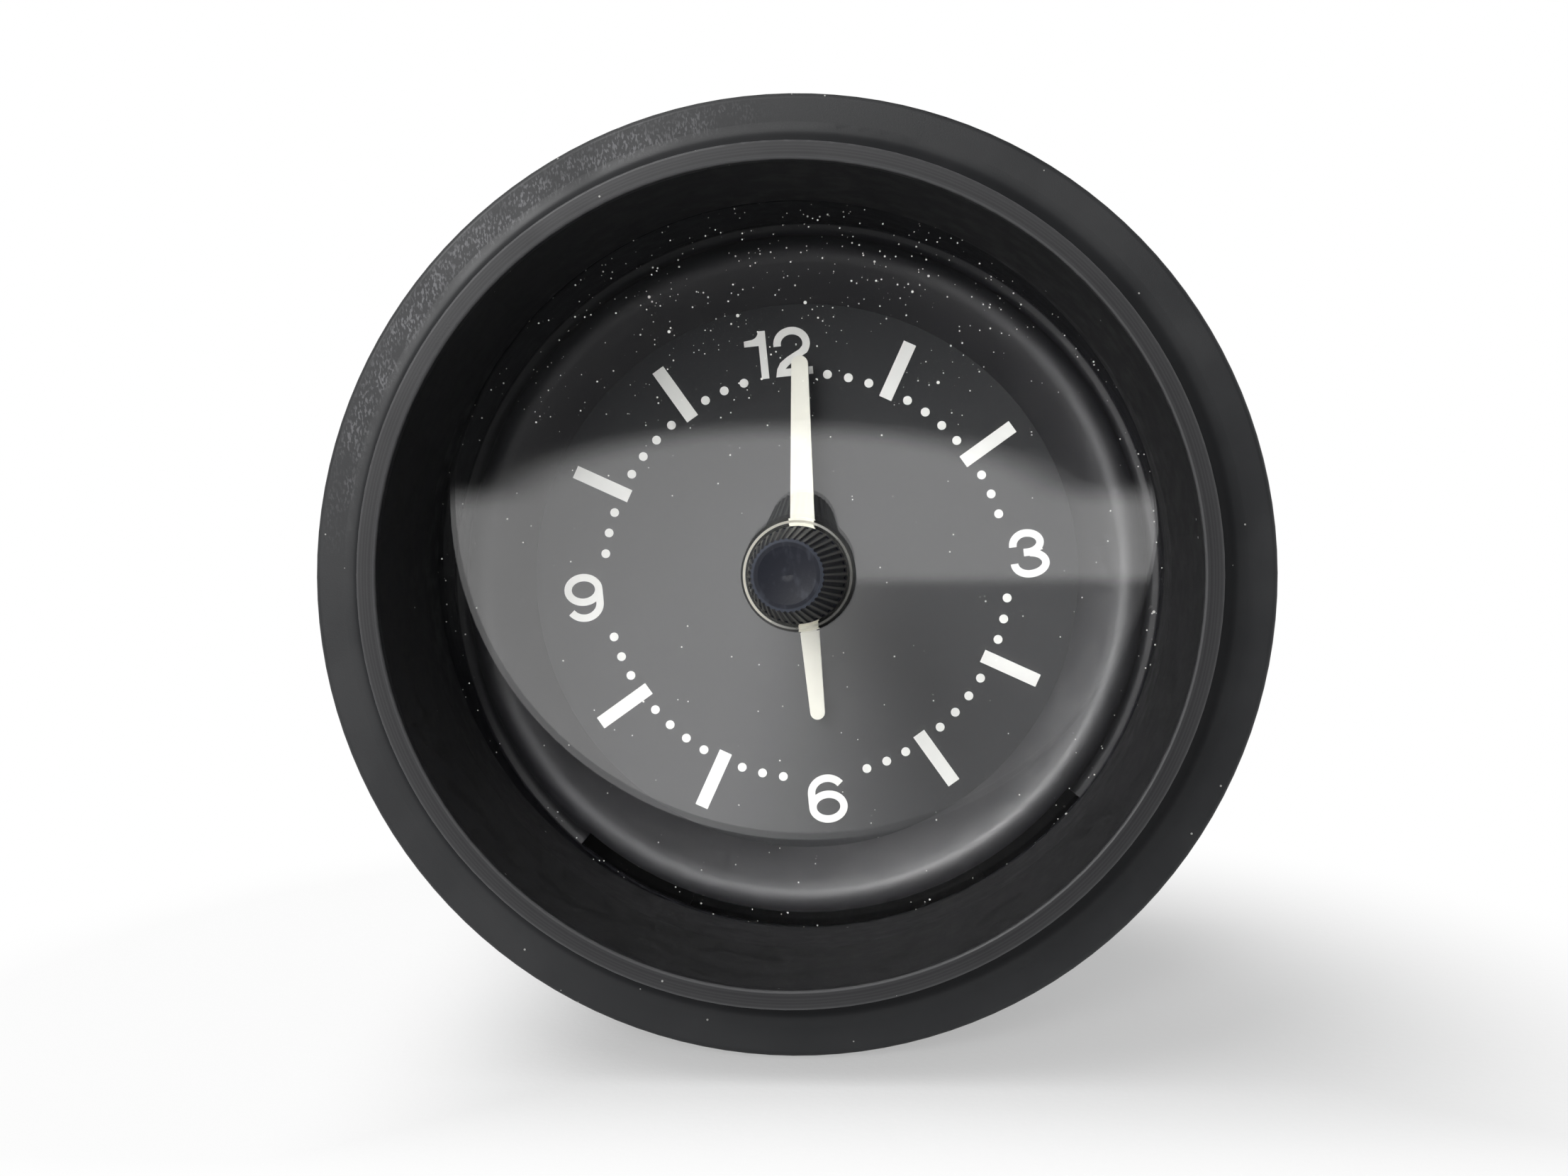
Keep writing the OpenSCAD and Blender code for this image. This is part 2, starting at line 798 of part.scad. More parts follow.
module lamp_socket() {
    color([0.1, 0.1, 0.1])
        on_axis()
            translate([0, -lamp_down, 0])
                difference() {
                    union() {
                        rod(socket_r, z_case_back, z_socket);
                        rod(socket_r + socket_flange, z_case_back - socket_cap, z_case_back);
                    }
                    rod(socket_bore, z_case_in, z_socket + beyond);
                    // Finger slot across the outer flange
                    translate([0, 0, z_case_back - socket_cap])
                        cube([3 * socket_r, finger_slot, socket_cap], center = true);
                }
}

module lamp() {
    z_shell = z_socket - lamp_shell;
    color([0.95, 0.93, 0.85])
        on_axis()
            translate([0, -lamp_down, 0]) {
                rod(lamp_base_r, z_case_in, z_shell);
                rod(lamp_r, z_shell, z_lamp - lamp_r);
                translate([0, 0, z_lamp - lamp_r])
                    sphere(lamp_r);
            }
}

module terminal_insulator() {
    color([0.12, 0.12, 0.12])
        on_axis()
            difference() {
                translate([-insulator_w / 2, terminal_up - insulator_h / 2, z_case_back - insulator_t])
                    cube([insulator_w, insulator_h, insulator_t]);
                for (s = [-1, 1])
                    translate([s * blade_pitch / 2, terminal_up, z_case_back])
                        cube([blade_w, blade_t, 4 * insulator_t], center = true);
            }
}

module terminal_blades() {
    z_tail = z_case_back - insulator_t - blade_len;
    color([0.8, 0.7, 0.4])
        on_axis()
            for (s = [-1, 1])
                translate([s * blade_pitch / 2, terminal_up, z_tail])
                    difference() {
                        translate([-blade_w / 2, -blade_t / 2, 0])
                            cube([blade_w, blade_t, z_case_in + blade_root - z_tail]);
                        translate([0, 0, blade_hole_up])
                            rotate([90, 0, 0])
                                cylinder(r = blade_hole_r, h = 3 * blade_t, center = true);
                    }
}

// A helical wire of six-sided rings, with a flat fan closing each end
module spring_coil(r, wire, length, turns) {
    turn = 8;
    sides = 6;
    rings = turn * turns;
    rise = length - wire - 2 * play;
    points = [for (i = [0 : rings]) for (j = [0 : sides - 1])
        let (a = 360 / turn * i, b = 360 / sides * j, q = r + wire / 2 * cos(b))
        [q * cos(a), q * sin(a), play + wire / 2 + rise * i / rings + wire / 2 * sin(b)]];
    skin = [for (i = [0 : rings - 1]) for (j = [0 : sides - 1])
        let (k = i * sides + j, m = i * sides + (j + 1) % sides)
        each [[k, k + sides, m], [m, k + sides, m + sides]]];
    start = [for (j = [1 : sides - 2]) [0, j, j + 1]];
    last = rings * sides;
    finish = [for (j = [1 : sides - 2]) [last, last + j + 1, last + j]];
    polyhedron(points, concat(skin, start, finish));
    // Least gap between neighbouring turns, measured between their points
    gap = min([for (i = [0 : rings - turn]) for (j = [0 : sides - 1]) for (k = [0 : sides - 1])
        norm(points[(i + turn) * sides + k] - points[i * sides + j])]);
    echo(spring_gap = gap);
}

module knob_spring() {
    color([0.75, 0.75, 0.78])
        on_axis()
            translate([0, 0, z_bush_floor])
                spring_coil(spring_r, spring_wire, spring_len, spring_turns);
}

module thrust_washer() {
    color([0.7, 0.7, 0.72])
        on_axis()
            tube(knob_base_r, shaft_r + run, z_washer, z_washer + washer_t);
}

module setting_knob() {
    z_cone = z_bush + knob_shoulder;
    cone_h = z_knob - z_cone;
    lean = atan((knob_base_r - knob_face_r) / cone_h);
    dish_r = knob_face_r - dish_rim;
    ball_r = (dish_r * dish_r + knob_dish * knob_dish) / (2 * knob_dish);
    color([0.05, 0.055, 0.08])
        on_axis()
            difference() {
                rotate_extrude()
                    polygon([[0, z_knob_base], [knob_base_r, z_knob_base], [knob_base_r, z_cone],
                        [knob_face_r, z_knob - knob_round / 2], [knob_face_r - knob_round / 2, z_knob],
                        [0, z_knob]]);
                // Dish in the face
                translate([0, 0, z_knob - knob_dish + ball_r])
                    sphere(ball_r);
                // Flutes along the cone
                for (i = [0 : flutes - 1])
                    rotate(i * 360 / flutes)
                        translate([knob_base_r, 0, z_cone + knob_shoulder])
                            rotate([0, -lean, 0])
                                cylinder(r = flute_r, h = 2 * cone_h, $fn = 16);
                rod(shaft_r, z_knob_base - beyond, z_knob_base + shaft_grip);
            }
}

module knob_shaft() {
    color([0.7, 0.7, 0.72])
        on_axis()
            rod(shaft_r, z_shaft_end, z_knob_base + shaft_grip);
}

module retaining_clip() {
    clip_r = shaft_r + clip_wall;
    color([0.55, 0.55, 0.58])
        on_axis()
            difference() {
                tube(clip_r, shaft_r, z_clip, z_clip + clip_t);
                translate([0, -clip_r, z_clip])
                    cube([clip_gap, 2 * clip_r, 3 * clip_t], center = true);
            }
}

module friction_tip() {
    color([0.1, 0.1, 0.1])
        on_axis()
            rod(tip_r, z_tip, z_shaft_end);
}

module minute_arbor() {
    color([0.68, 0.68, 0.7])
        on_axis()
            difference() {
                union() {
                    rod(arbor_r, z_train_back - arbor_end, z_hub);
                    rod(cup_r + cup_wall, z_hub, z_cup);
                }
                rod(cup_r, z_cup - cup_depth, z_cup + beyond);
            }
}

module cannon_pinion() {
    color([0.78, 0.66, 0.36])
        on_axis()
            piped_gear(cannon_teeth, gear_module, z_cannon, pinion_t, cannon_r, z_cannon,
                z_minute_hand, arbor_r);
}

module centre_wheel() {
    root_r = gear_module * (centre_teeth / 2 - dedendum);
    color([0.8, 0.68, 0.36])
        on_axis() {
            translate([0, 0, z_centre_wheel])
                linear_extrude(wheel_t) {
                    difference() {
                        gear_outline(centre_teeth, gear_module);
                        circle(root_r - rim_w);
                    }
                    difference() {
                        for (i = [0 : spokes - 1])
                            rotate(i * 360 / spokes)
                                translate([0, -spoke_w / 2])
                                    square([root_r - rim_w / 2, spoke_w]);
                        circle(arbor_r);
                    }
                }
            tube(hub_r, arbor_r, z_centre_wheel - hub_step, z_centre_wheel + wheel_t + hub_step);
        }
}

module minute_hand() {
    color([0.9, 0.89, 0.84])
        on_axis()
            translate([0, 0, z_minute_hand])
                rotate(-minute_at)
                    hand(minute_len, minute_w, minute_tip_w, cup_r + cup_wall, arbor_r);
}

module hour_wheel() {
    color([0.8, 0.68, 0.36])
        on_axis()
            piped_gear(hour_teeth, hour_module, z_hour_wheel, wheel_t, pipe_r, z_hour_wheel,
                z_hour_hand + hand_t, pipe_bore);
}

module hour_hand() {
    color([0.9, 0.89, 0.84])
        on_axis()
            translate([0, 0, z_hour_hand])
                rotate(-hour_at)
                    hand(hour_len, hour_w, hour_tip_w, pipe_r + hand_collar, pipe_r);
}

module minute_wheel() {
    half_step = 180 / minute_teeth;
    color([0.8, 0.68, 0.36])
        on_axis()
            translate([motion_centre, 0, 0])
                piped_gear(minute_teeth, gear_module, z_minute_wheel, wheel_t, stud_collar, z_minute_wheel,
                    z_minute_wheel + wheel_t, stud_r + run, 180 + half_step);
}

module minute_pinion() {
    half_step = 180 / pinion_teeth;
    z_foot = z_minute_wheel + wheel_t;
    color([0.66, 0.66, 0.68])
        on_axis()
            translate([motion_centre, 0, 0])
                piped_gear(pinion_teeth, hour_module, z_minute_pinion, pinion_t, stud_head, z_foot,
                    z_minute_pinion + pinion_t / 2, stud_r + run, 180 + half_step);
}

module motor_pinion() {
    half_step = 180 / motor_teeth;
    color([0.66, 0.66, 0.68])
        on_axis()
            translate([-motor_centre, 0, 0]) {
                translate([0, 0, z_motor_pinion])
                    rotate(half_step)
                        linear_extrude(pinion_t)
                            gear_outline(motor_teeth, gear_module);
                rod(motor_shaft_r, z_train_back - motor_len / 2 + play, z_motor_pinion + pinion_t);
            }
}

front_bezel();
grip_ring();
glare_funnel();
glass();
knob_bush();
dial_mask();
dial_plate();
hour_marks();
case_can();
front_plate();
back_plate();
plate_pillars();
plate_screws();
dial_pillars();
rear_standoffs();
rear_screws();
drive_motor();
wheel_stud();
lamp_socket();
lamp();
terminal_insulator();
terminal_blades();
knob_spring();
thrust_washer();
setting_knob();
knob_shaft();
retaining_clip();
friction_tip();
minute_arbor();
cannon_pinion();
centre_wheel();
minute_hand();
hour_wheel();
hour_hand();
minute_wheel();
minute_pinion();
motor_pinion();
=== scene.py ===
"""Looks of the dashboard clock: materials, dial numerals, light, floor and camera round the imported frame."""

import json
import math

import bpy
from mathutils import Matrix, Vector


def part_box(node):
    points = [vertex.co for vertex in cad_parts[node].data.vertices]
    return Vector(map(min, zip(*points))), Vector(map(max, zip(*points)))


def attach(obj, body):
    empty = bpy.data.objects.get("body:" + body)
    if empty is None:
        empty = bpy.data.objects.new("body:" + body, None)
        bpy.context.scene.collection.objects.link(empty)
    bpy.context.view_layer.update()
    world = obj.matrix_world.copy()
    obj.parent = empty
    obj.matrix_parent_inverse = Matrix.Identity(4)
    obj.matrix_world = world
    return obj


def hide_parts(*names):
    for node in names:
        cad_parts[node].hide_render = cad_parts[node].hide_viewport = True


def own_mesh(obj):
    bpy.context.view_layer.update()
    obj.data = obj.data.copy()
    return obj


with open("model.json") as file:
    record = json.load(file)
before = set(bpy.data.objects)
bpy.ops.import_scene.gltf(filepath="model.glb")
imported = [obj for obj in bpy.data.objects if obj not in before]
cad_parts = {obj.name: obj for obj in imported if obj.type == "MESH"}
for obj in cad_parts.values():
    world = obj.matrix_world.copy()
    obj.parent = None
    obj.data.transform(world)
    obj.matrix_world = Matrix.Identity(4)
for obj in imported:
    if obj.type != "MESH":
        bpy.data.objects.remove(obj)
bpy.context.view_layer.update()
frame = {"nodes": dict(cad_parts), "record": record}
nodes = frame["nodes"]
bezel_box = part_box("front_bezel")
case_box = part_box("case_can")
bush_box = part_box("knob_bush")

# Places in mm where a surface's look changes: radii from the clock's axis, and depths along Y
MM = 0.001
FLANGE_FRONT = -3.5
LIP_FRONT = bezel_box[0].y / MM + 0.5
LIP_MID = 38.45
SCUFF_RING = 43.2
SCUFF_HALF = 1.7
SKIRT_R = 36.2
CREST_R = 32.5
DIAL_SEEN_R = 29.0
GLASS_EDGE_R = 35.0
KNOB_RIM = 3.25
KNOB_FRONT = -8.4
FLUTES = 40.0
BUSH_WALL = 0.65

# Colours that several surfaces share
DUST = (0.55, 0.55, 0.53)
SHADE = (0.004, 0.004, 0.005)


# Shader building blocks


def add(tree, kind, inputs=None, **settings):
    """A shader node with its settings, and its inputs given as values or as sockets to link."""
    made = tree.nodes.new("ShaderNode" + kind)
    for key, value in settings.items():
        setattr(made, key, value)
    for key, value in (inputs or {}).items():
        if isinstance(value, bpy.types.NodeSocket):
            tree.links.new(value, made.inputs[key])
        else:
            made.inputs[key].default_value = value
    return made


def maths(tree, operation, a, b=0.0, c=0.0):
    """The result of one sum on values or sockets."""
    return add(tree, "Math", {0: a, 1: b, 2: c}, operation=operation).outputs[0]


def ramp(tree, value, low, high, start=0.0, end=1.0):
    """value from low to high, smoothed and mapped to start to end."""
    inputs = {"Value": value, "From Min": low, "From Max": high, "To Min": start, "To Max": end}
    return add(tree, "MapRange", inputs, interpolation_type="SMOOTHSTEP").outputs["Result"]


def tint(tree, share, first, second):
    """A colour between two colours."""
    mix = add(tree, "Mix", data_type="RGBA")
    for socket, value in zip((mix.inputs[0], mix.inputs[6], mix.inputs[7]), (share, first, second)):
        if isinstance(value, bpy.types.NodeSocket):
            tree.links.new(value, socket)
        elif isinstance(value, float):
            socket.default_value = value
        else:
            socket.default_value = (*value, 1.0)
    return mix.outputs[2]


def millimetres(tree, stretch=(1.0, 1.0, 1.0)):
    """The piece's own coordinates in millimetres, scaled along each axis."""
    place = add(tree, "TexCoord").outputs["Object"]
    scale = [s / MM for s in stretch]
    return add(tree, "Mapping", {"Vector": place, "Scale": scale}).outputs["Vector"]


def along_axes(tree, where):
    """The X, Y and Z of a place."""
    return add(tree, "SeparateXYZ", {"Vector": where}).outputs


def noise(tree, where, per_mm, detail=3.0):
    """Smooth noise with that many waves to the millimetre."""
    inputs = {"Vector": where, "Scale": per_mm, "Detail": detail}
    return add(tree, "TexNoise", inputs).outputs["Fac"]


def specks(tree, where, cell, share, size):
    """Sparse dust grains: a share of the cells of that size in mm each holds one grain."""
    cells = add(tree, "TexVoronoi", {"Vector": where, "Scale": 1.0 / cell})
    chance = add(tree, "SeparateColor", {"Color": cells.outputs["Color"]})
    kept = maths(tree, "LESS_THAN", chance.outputs["Red"], share)
    reach = maths(tree, "MULTIPLY", chance.outputs["Green"], size)
    return maths(tree, "MULTIPLY", kept, maths(tree, "LESS_THAN", cells.outputs["Distance"], reach))


def new_material(name, **sockets):
    """A material with its Principled shader's constant sockets set."""
    material = bpy.data.materials.new(name)
    material.use_nodes = True
    shader = material.node_tree.nodes["Principled BSDF"]
    for key, value in sockets.items():
        shader.inputs[key.replace("_", " ")].default_value = value
    return material, material.node_tree, shader


def bump(tree, shader, height, depth):
    """Bump of that depth in mm."""
    made = add(tree, "Bump", {"Height": height, "Distance": depth * MM, "Strength": 1.0})
    tree.links.new(made.outputs["Normal"], shader.inputs["Normal"])


def grained(name, colour, rough, grain, depth, vary=0.25, dust=0.0, **sockets):
    """A plain moulded, painted or rubber surface: mottled colour, uneven gloss, fine grain and some dust."""
    material, tree, shader = new_material(name, **sockets)
    where = millimetres(tree)
    fine = noise(tree, where, grain)
    broad = noise(tree, where, grain / 12)
    dark = tuple(c * (1 - vary) for c in colour)
    pale = tuple(c * (1 + vary) for c in colour)
    shown = tint(tree, ramp(tree, broad, 0.3, 0.7), dark, pale)
    if dust:
        grains = specks(tree, where, 1.1, dust, 0.12)
        shown = tint(tree, grains, shown, DUST)
    tree.links.new(shown, shader.inputs["Base Color"])
    gloss = ramp(tree, broad, 0.3, 0.7, rough * 0.85, min(1.0, rough * 1.15))
    tree.links.new(gloss, shader.inputs["Roughness"])
    bump(tree, shader, fine, depth)
    return material


def metal(name, colour, rough, stretch, per_mm, depth, vary=0.12):
    """A metal with brushed or rolled lines along one axis, slight tarnish and uneven gloss."""
    material, tree, shader = new_material(name, Metallic=1.0)
    lines = noise(tree, millimetres(tree, stretch), per_mm, 2.0)
    tarnish = noise(tree, millimetres(tree), 0.15)
    dull = tuple(c * (1 - 2 * vary) for c in colour)
    pale = tuple(min(1.0, c * (1 + vary)) for c in colour)
    tree.links.new(tint(tree, ramp(tree, tarnish, 0.35, 0.7), pale, dull), shader.inputs["Base Color"])
    tree.links.new(ramp(tree, lines, 0.2, 0.8, rough * 0.8, rough * 1.3), shader.inputs["Roughness"])
    bump(tree, shader, lines, depth)
    return material


def see_through(material, tree, shader):
    """Lets lamp light through a clear piece, so that what is behind it is lit."""
    output = next(n for n in tree.nodes if n.type == "OUTPUT_MATERIAL")
    shadow = add(tree, "LightPath").outputs["Is Shadow Ray"]
    passing = add(tree, "BsdfTransparent")
    mixed = add(tree, "MixShader", {0: shadow, 1: shader.outputs[0], 2: passing.outputs[0]})
    tree.links.new(mixed.outputs[0], output.inputs["Surface"])
    return material


def distance(tree, a, b):
    """Length of a two-part vector."""
    squares = maths(tree, "ADD", maths(tree, "MULTIPLY", a, a), maths(tree, "MULTIPLY", b, b))
    return maths(tree, "SQRT", squares)


def seen_rays(tree):
    """1 for rays that show a background: straight from the camera, mirrored or through something clear."""
    path = add(tree, "LightPath").outputs
    bounced = maths(tree, "MAXIMUM", path["Is Glossy Ray"], path["Is Transmission Ray"])
    shows = maths(tree, "MAXIMUM", path["Is Camera Ray"], bounced)
    return maths(tree, "MULTIPLY", shows, maths(tree, "LESS_THAN", path["Diffuse Depth"], 0.5))


def off_ring(tree, radius, ring):
    """How far a radius lies from a ring's."""
    return maths(tree, "ABSOLUTE", maths(tree, "SUBTRACT", radius, ring))


def scuffed(tree, shown, where, radius):
    """A colour with a band of short pale streaks on the flange towards 11 o'clock."""
    x, y, z = along_axes(tree, where)
    towards = maths(tree, "ADD", maths(tree, "MULTIPLY", x, -0.62), maths(tree, "MULTIPLY", z, 0.78))
    upper_left = ramp(tree, maths(tree, "DIVIDE", towards, radius), 0.70, 0.97)
    on_face = ramp(tree, off_ring(tree, radius, SCUFF_RING), SCUFF_HALF, 0.3 * SCUFF_HALF)
    patches = ramp(tree, noise(tree, where, 0.4, 2.0), 0.25, 0.6)
    reach = maths(tree, "MULTIPLY", maths(tree, "MULTIPLY", patches, on_face), upper_left)
    streaks = ramp(tree, noise(tree, millimetres(tree, (1.0, 1.0, 0.4)), 5.5, 3.0), 0.5, 0.62)
    hazy = tint(tree, maths(tree, "MULTIPLY", reach, 0.1), shown, (0.09, 0.09, 0.1))
    return tint(tree, maths(tree, "MULTIPLY", reach, streaks), hazy, (0.18, 0.18, 0.19))


def bezel_plastic():
    """Charcoal plastic: turned lines and painted edge highlights on the lip, painted shade in the cove, dust,
    and pale scuffs at the upper left.
    """
    material, tree, shader = new_material("black_plastic")
    where = millimetres(tree)
    x, y, z = along_axes(tree, where)
    radius = distance(tree, x, z)
    broad = noise(tree, where, 0.12)
    shown = tint(tree, ramp(tree, broad, 0.3, 0.7), (0.031, 0.032, 0.034), (0.039, 0.040, 0.042))
    # Turned lines on the lip's front band, with a painted highlight along each edge
    lines = {"W": radius, "Scale": 4.0, "Detail": 2.0}
    turned = add(tree, "TexNoise", lines, noise_dimensions="1D").outputs[0]
    on_lip = maths(tree, "LESS_THAN", y, LIP_FRONT)
    lip = tint(tree, ramp(tree, turned, 0.3, 0.7), (0.027, 0.027, 0.029), (0.042, 0.042, 0.044))
    lip_edge_highlight = ramp(tree, off_ring(tree, radius, LIP_MID), 0.55, 0.8)
    lip = tint(tree, lip_edge_highlight, lip, (0.08, 0.08, 0.083))
    shown = tint(tree, on_lip, shown, lip)
    # Shade in the cove, deepest where it meets the lip
    rise = maths(tree, "SUBTRACT", FLANGE_FRONT, y)
    shallow = ramp(tree, rise, 0.02, 0.4, 0.0, 0.4)
    deep = ramp(tree, rise, 0.5, 1.7, 0.0, 0.8)
    off_lip = maths(tree, "SUBTRACT", 1.0, on_lip)
    in_cove = maths(tree, "MULTIPLY", maths(tree, "MAXIMUM", shallow, deep), off_lip)
    shown = tint(tree, in_cove, shown, SHADE)
    shown = scuffed(tree, shown, where, radius)
    shown = tint(tree, specks(tree, where, 1.5, 0.15, 0.1), shown, (0.42, 0.42, 0.4))
    tree.links.new(shown, shader.inputs["Base Color"])
    flat = maths(tree, "MAXIMUM", on_lip, ramp(tree, rise, 0.3, 0.05))
    tree.links.new(ramp(tree, flat, 0.0, 1.0, 0.08, 0.25), shader.inputs["Specular IOR Level"])
    tree.links.new(ramp(tree, broad, 0.3, 0.7, 0.45, 0.58), shader.inputs["Roughness"])
    bump(tree, shader, noise(tree, where, 6.0), 0.01)
    return material


def mask_plastic():
    """Satin black mask: glossy on its bead, softer on its crest, dull on the skirt at the glass's edge."""
    material, tree, shader = new_material("mask_black")
    where = millimetres(tree)
    x, y, z = along_axes(tree, where)
    broad = noise(tree, where, 0.6)
    shown = tint(tree, broad, (0.008, 0.008, 0.010), (0.012, 0.012, 0.014))
    shown = tint(tree, specks(tree, where, 1.1, 0.02, 0.12), shown, DUST)
    radius = distance(tree, x, z)
    skirt = ramp(tree, radius, SKIRT_R - 0.4, SKIRT_R - 0.1)
    tree.links.new(shown, shader.inputs["Base Color"])
    tree.links.new(ramp(tree, skirt, 0.0, 1.0, 0.9, 0.03), shader.inputs["Specular IOR Level"])
    crest = ramp(tree, radius, CREST_R - 1.6, CREST_R - 0.6, 0.0, 0.1)
    satin = ramp(tree, broad, 0.3, 0.7, 0.4, 0.46)
    tree.links.new(maths(tree, "ADD", satin, crest), shader.inputs["Roughness"])
    bump(tree, shader, noise(tree, where, 8.0), 0.003)
    return material


def dial_paint():
    """Satin black dial: a fine grain inside the mask, painted shade, near black, under it."""
    material, tree, shader = new_material("dial_black", Roughness=0.7)
    where = millimetres(tree)
    x, y, z = along_axes(tree, where)
    mottled = tint(tree, noise(tree, where, 9.0), (0.016, 0.017, 0.018), (0.046, 0.047, 0.049))
    # Painted shade: near black and without gloss beyond the mask's inner edge
    shade_under_mask = ramp(tree, distance(tree, x, z), DIAL_SEEN_R, DIAL_SEEN_R + 0.5)
    tree.links.new(tint(tree, shade_under_mask, mottled, (0.002, 0.002, 0.002)), shader.inputs["Base Color"])
    tree.links.new(ramp(tree, shade_under_mask, 0.0, 1.0, 0.1, 0.0), shader.inputs["Specular IOR Level"])
    bump(tree, shader, noise(tree, where, 10.0), 0.004)
    return material


def knob_plastic():
    """Navy black knob with faint smudges, a painted highlight round the rim of its face and painted highlights
    on the ridges between its flutes.
    """
    material, tree, shader = new_material("knob_plastic", Roughness=0.5, Specular_IOR_Level=0.2)
    where = millimetres(tree)
    x, y, z = along_axes(tree, where)
    smudge = ramp(tree, noise(tree, millimetres(tree, (1.0, 1.0, 0.5)), 1.3, 4.0), 0.48, 0.78)
    shown = tint(tree, smudge, (0.014, 0.016, 0.025), (0.034, 0.038, 0.052))
    # Painted highlight: a paler ring on the rim of the face
    from_rim = off_ring(tree, distance(tree, x, z), KNOB_RIM)
    front = maths(tree, "LESS_THAN", y, KNOB_FRONT)
    face_rim_highlight = maths(tree, "MULTIPLY", ramp(tree, from_rim, 0.25, 0.08), front)
    shown = tint(tree, face_rim_highlight, shown, (0.07, 0.078, 0.1))
    # Painted highlight: paler ridges between the flutes
    turns = maths(tree, "MULTIPLY", maths(tree, "ARCTAN2", z, x), FLUTES)
    ridge_highlight = ramp(tree, maths(tree, "COSINE", turns), -0.2, -0.8)
    ridge_highlight = maths(tree, "MULTIPLY", ridge_highlight, maths(tree, "SUBTRACT", 1.0, front))
    shown = tint(tree, ridge_highlight, shown, (0.13, 0.13, 0.12))
    tree.links.new(shown, shader.inputs["Base Color"])
    bump(tree, shader, noise(tree, where, 6.0), 0.01)
    return material


def dusty_glass():
    """Clear glass with sparse dust grains, thicker in drifts towards the top and along its edge."""
    material, tree, shader = new_material("clear_glass", IOR=1.52, Coat_Weight=1.0, Coat_IOR=1.55)
    where = millimetres(tree)
    x, y, z = along_axes(tree, where)
    drift = maths(tree, "MULTIPLY", noise(tree, where, 0.2), 26.0)
    top = ramp(tree, maths(tree, "ADD", z, drift), 22.0, 46.0, 0.03, 0.5)
    edge = ramp(tree, distance(tree, x, z), GLASS_EDGE_R - 1.8, GLASS_EDGE_R, 0.0, 0.25)
    share = maths(tree, "MAXIMUM", top, edge)
    fine = specks(tree, where, 0.5, share, 0.19)
    coarse = specks(tree, where, 1.7, maths(tree, "MULTIPLY", share, 0.7), 0.11)
    grains = maths(tree, "MAXIMUM", fine, coarse)
    tree.links.new(tint(tree, grains, (1.0, 1.0, 1.0), (0.95, 0.95, 0.9)), shader.inputs["Base Color"])
    tree.links.new(maths(tree, "SUBTRACT", 1.0, grains), shader.inputs["Transmission Weight"])
    tree.links.new(maths(tree, "MULTIPLY", grains, 0.8), shader.inputs["Roughness"])
    return see_through(material, tree, shader)


def clear_moulding(name, colour, rough):
    """Clear plastic or lamp glass with a faint tint and moulding ripples."""
    material, tree, shader = new_material(name, IOR=1.49, Transmission_Weight=1.0)
    where = millimetres(tree)
    ripple = noise(tree, where, 0.5)
    pale = tuple(min(1.0, c * 1.05) for c in colour)
    tree.links.new(tint(tree, ripple, colour, pale), shader.inputs["Base Color"])
    tree.links.new(ramp(tree, ripple, 0.3, 0.7, rough, rough * 2), shader.inputs["Roughness"])
    bump(tree, shader, ripple, 0.01)
    return see_through(material, tree, shader)


def highlighted_bush():
    """Clear plastic bush with a painted cream highlight round its front rim, strongest at the left and top,
    where the light falls.
    """
    material, tree, shader = new_material("clear_plastic", IOR=1.49)
    low, high = bush_box
    x, y, z = along_axes(tree, millimetres(tree))
    radius = distance(tree, x, z)
    # Painted highlight: a cream line on the front rim, stronger where it faces the upper left
    line = ramp(tree, off_ring(tree, radius, high.x / MM - BUSH_WALL / 2), 0.17, 0.07)
    front = maths(tree, "LESS_THAN", y, low.y / MM + 0.1)
    towards = maths(tree, "DIVIDE", maths(tree, "SUBTRACT", maths(tree, "MULTIPLY", z, 0.6), x), radius)
    lit = ramp(tree, towards, -0.6, 0.8, 0.25, 1.0)
    bush_rim_highlight = maths(tree, "MULTIPLY", maths(tree, "MULTIPLY", line, front), lit)
    tree.links.new(tint(tree, bush_rim_highlight, (0.98, 0.97, 0.92), (0.78, 0.75, 0.64)), shader.inputs["Base Color"])
    tree.links.new(maths(tree, "SUBTRACT", 1.0, bush_rim_highlight), shader.inputs["Transmission Weight"])
    tree.links.new(ramp(tree, bush_rim_highlight, 0.0, 1.0, 0.02, 0.4), shader.inputs["Roughness"])
    return see_through(material, tree, shader)


MATERIALS = {
    "black_plastic": bezel_plastic(),
    "grip_rubber": grained("grip_rubber", (0.02, 0.02, 0.02), 0.75, 5.0, 0.03, dust=0.1),
    "funnel_black": grained(
        "funnel_black", (0.014, 0.014, 0.015), 0.62, 5.0, 0.004, dust=0.03, Specular_IOR_Level=0.08
    ),
    "clear_glass": dusty_glass(),
    "clear_plastic": highlighted_bush(),
    "mask_black": mask_plastic(),
    "dial_black": dial_paint(),
    "white_paint": grained("white_paint", (0.82, 0.82, 0.79), 0.55, 6.0, 0.004, vary=0.03),
    "cream_paint": grained("cream_paint", (0.76, 0.75, 0.66), 0.45, 4.0, 0.004, vary=0.03),
    "knob_plastic": knob_plastic(),
    "black_insulator": grained("black_insulator", (0.022, 0.02, 0.018), 0.5, 3.0, 0.02),
    "tip_rubber": grained("tip_rubber", (0.025, 0.024, 0.023), 0.8, 5.0, 0.02),
    "lamp_glass": clear_moulding("lamp_glass", (0.96, 0.96, 0.93), 0.02),
    "zinc_steel": metal("zinc_steel", (0.5, 0.51, 0.53), 0.4, (1.0, 0.1, 1.0), 2.4, 0.003, 0.06),
    "bright_steel": metal("bright_steel", (0.62, 0.62, 0.64), 0.26, (1.0, 0.3, 1.0), 3.0, 0.004),
    "brass": metal("brass", (0.72, 0.54, 0.26), 0.3, (1.0, 1.0, 0.12), 2.2, 0.005),
}
